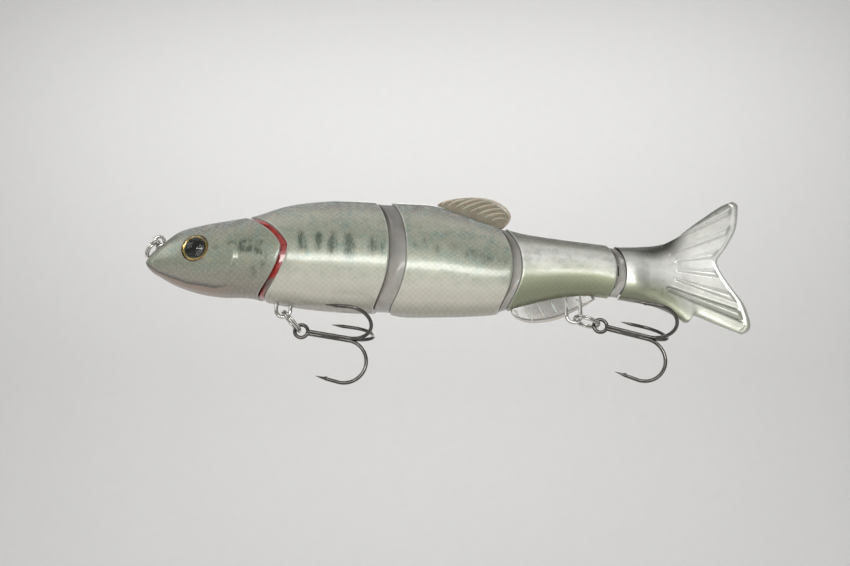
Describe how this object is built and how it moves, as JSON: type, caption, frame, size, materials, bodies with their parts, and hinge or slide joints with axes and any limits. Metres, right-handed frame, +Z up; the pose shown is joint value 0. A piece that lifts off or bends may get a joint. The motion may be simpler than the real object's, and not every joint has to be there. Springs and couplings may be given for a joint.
{
  "type": "swimbait",
  "caption": "Jointed hard swimbait: hollow fish body in hinged sections with fins, wire line tie, split rings and treble hooks.",
  "frame": {"origin": "centre of the line tie's eye on top of the nose", "axes": "+X from the nose to the tail, +Z up out of the back, -Y out of the fish's left flank"},
  "size_m": [0.1644, 0.0222, 0.0535],
  "materials": {
    "painted_flank": "glossy clear-coated paint, pearl green over silver",
    "satin_silver": "satin metallic paint",
    "bare_nose": "unpainted translucent grey-brown moulding",
    "red_nose": "glossy red paint",
    "iris_foil": "holographic gold foil",
    "eye_dome": "clear dome",
    "fin_moulding": "translucent pearl moulding",
    "steel_wire": "bright nickel-plated steel wire",
    "hook_wire": "black nickel",
    "tongue_moulding": "dark nylon",
    "ballast": "dull cast lead"
  },
  "bodies": {
    "head": {"head_shell_left": "painted_flank", "head_shell_right": "painted_flank", "eye_iris_left": "iris_foil", "eye_iris_right": "iris_foil", "eye_lens_left": "eye_dome", "eye_lens_right": "eye_dome", "line_tie_eyelet": "steel_wire", "gill_tongue": "tongue_moulding"},
    "nose_ring": {"line_tie_ring": "steel_wire"},
    "front_section": {"front_shell_left": "painted_flank", "front_shell_right": "painted_flank", "gill_hinge_block": "red_nose", "gill_pin": "steel_wire", "front_tongue": "tongue_moulding", "belly_weight": "ballast", "front_hook_hanger": "steel_wire"},
    "mid_section": {"mid_shell_left": "painted_flank", "mid_shell_right": "painted_flank", "front_hinge_block": "bare_nose", "front_pin": "steel_wire", "mid_tongue": "tongue_moulding", "mid_weight": "ballast", "dorsal_fin": "fin_moulding"},
    "rear_section": {"rear_shell_left": "satin_silver", "rear_shell_right": "satin_silver", "mid_hinge_block": "bare_nose", "mid_pin": "steel_wire", "tail_tongue": "tongue_moulding", "anal_fin": "fin_moulding", "rear_hook_hanger": "steel_wire"},
    "tail_section": {"tail": "satin_silver", "tail_pin": "steel_wire"},
    "front_ring": {"front_hook_ring": "steel_wire"},
    "front_hook": {"front_treble_hook": "hook_wire"},
    "rear_ring": {"rear_hook_ring": "steel_wire"},
    "rear_hook": {"rear_treble_hook": "hook_wire"}
  },
  "joints": [
    {"name": "gill_hinge", "type": "hinge", "parent": "head", "child": "front_section", "pos_m": [0.03502, 0, -0.00469], "axis": [0, 0, 1], "range_deg": [-7, 7]},
    {"name": "front_hinge", "type": "hinge", "parent": "front_section", "child": "mid_section", "pos_m": [0.06782, 0, -0.00593], "axis": [0, 0, 1], "range_deg": [-22, 22]},
    {"name": "mid_hinge", "type": "hinge", "parent": "mid_section", "child": "rear_section", "pos_m": [0.09932, 0, -0.009], "axis": [0, 0, 1], "range_deg": [-18, 18]},
    {"name": "tail_hinge", "type": "hinge", "parent": "rear_section", "child": "tail_section", "pos_m": [0.12702, 0, -0.01026], "axis": [0, 0, 1], "range_deg": [-25, 25]},
    {"name": "nose_ring_swing", "type": "hinge", "parent": "head", "child": "nose_ring", "pos_m": [-0.00006, 0, -0.00008], "axis": [0, 1, 0], "range_deg": [-2, 150]},
    {"name": "front_ring_swing", "type": "hinge", "parent": "front_section", "child": "front_ring", "pos_m": [0.03502, 0, -0.02071], "axis": [0, 1, 0], "range_deg": [-8, 70]},
    {"name": "front_hook_swing", "type": "hinge", "parent": "front_ring", "child": "front_hook", "pos_m": [0.0397, 0, -0.02591], "axis": [0, 1, 0], "range_deg": [-6, 60]},
    {"name": "rear_ring_swing", "type": "hinge", "parent": "rear_section", "child": "rear_ring", "pos_m": [0.11332, 0, -0.02268], "axis": [0, 1, 0], "range_deg": [-3, 65]},
    {"name": "rear_hook_swing", "type": "hinge", "parent": "rear_ring", "child": "rear_hook", "pos_m": [0.11998, 0, -0.02484], "axis": [0, 1, 0], "range_deg": [-3, 60]}
  ]
}
